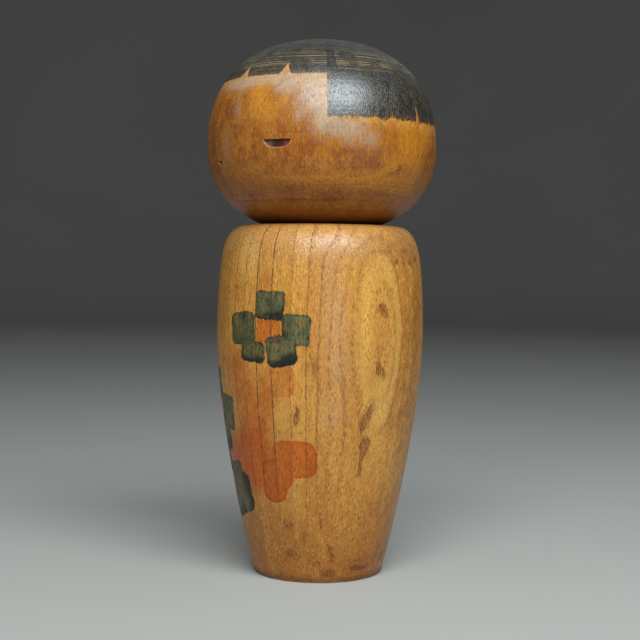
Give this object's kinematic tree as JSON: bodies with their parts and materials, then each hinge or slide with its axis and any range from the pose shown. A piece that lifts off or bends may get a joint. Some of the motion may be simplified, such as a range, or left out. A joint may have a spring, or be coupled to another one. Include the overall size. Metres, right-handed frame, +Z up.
{
  "type": "kokeshi doll",
  "caption": "Turned wooden doll with a round head that turns on a loose neck dowel and lifts off a tall rounded body.",
  "frame": {"origin": "centre of the flat base, on the surface the doll stands on", "axes": "+Z up along the turned axis, -Y the way the face looks, +X towards the doll's own left side"},
  "size_m": [0.0856, 0.0856, 0.199],
  "materials": {
    "body_wood": "satin aged varnish over turned hardwood, with brushed flowers in dye",
    "head_wood": "satin aged varnish over turned hardwood, with dyed hair",
    "peg_wood": "bare turned wood, never varnished"
  },
  "bodies": {
    "body": {"body": "body_wood"},
    "neck_peg": {"neck_peg": "peg_wood"},
    "head": {"head": "head_wood"}
  },
  "joints": [
    {"name": "head_turn", "type": "hinge", "parent": "body", "child": "neck_peg", "pos_m": [0, 0, 0.1303], "axis": [0, 0, 1], "continuous": true},
    {"name": "head_lift", "type": "slide", "parent": "neck_peg", "child": "head", "axis": [0, 0, 1], "range_m": [0, 0.026]}
  ]
}
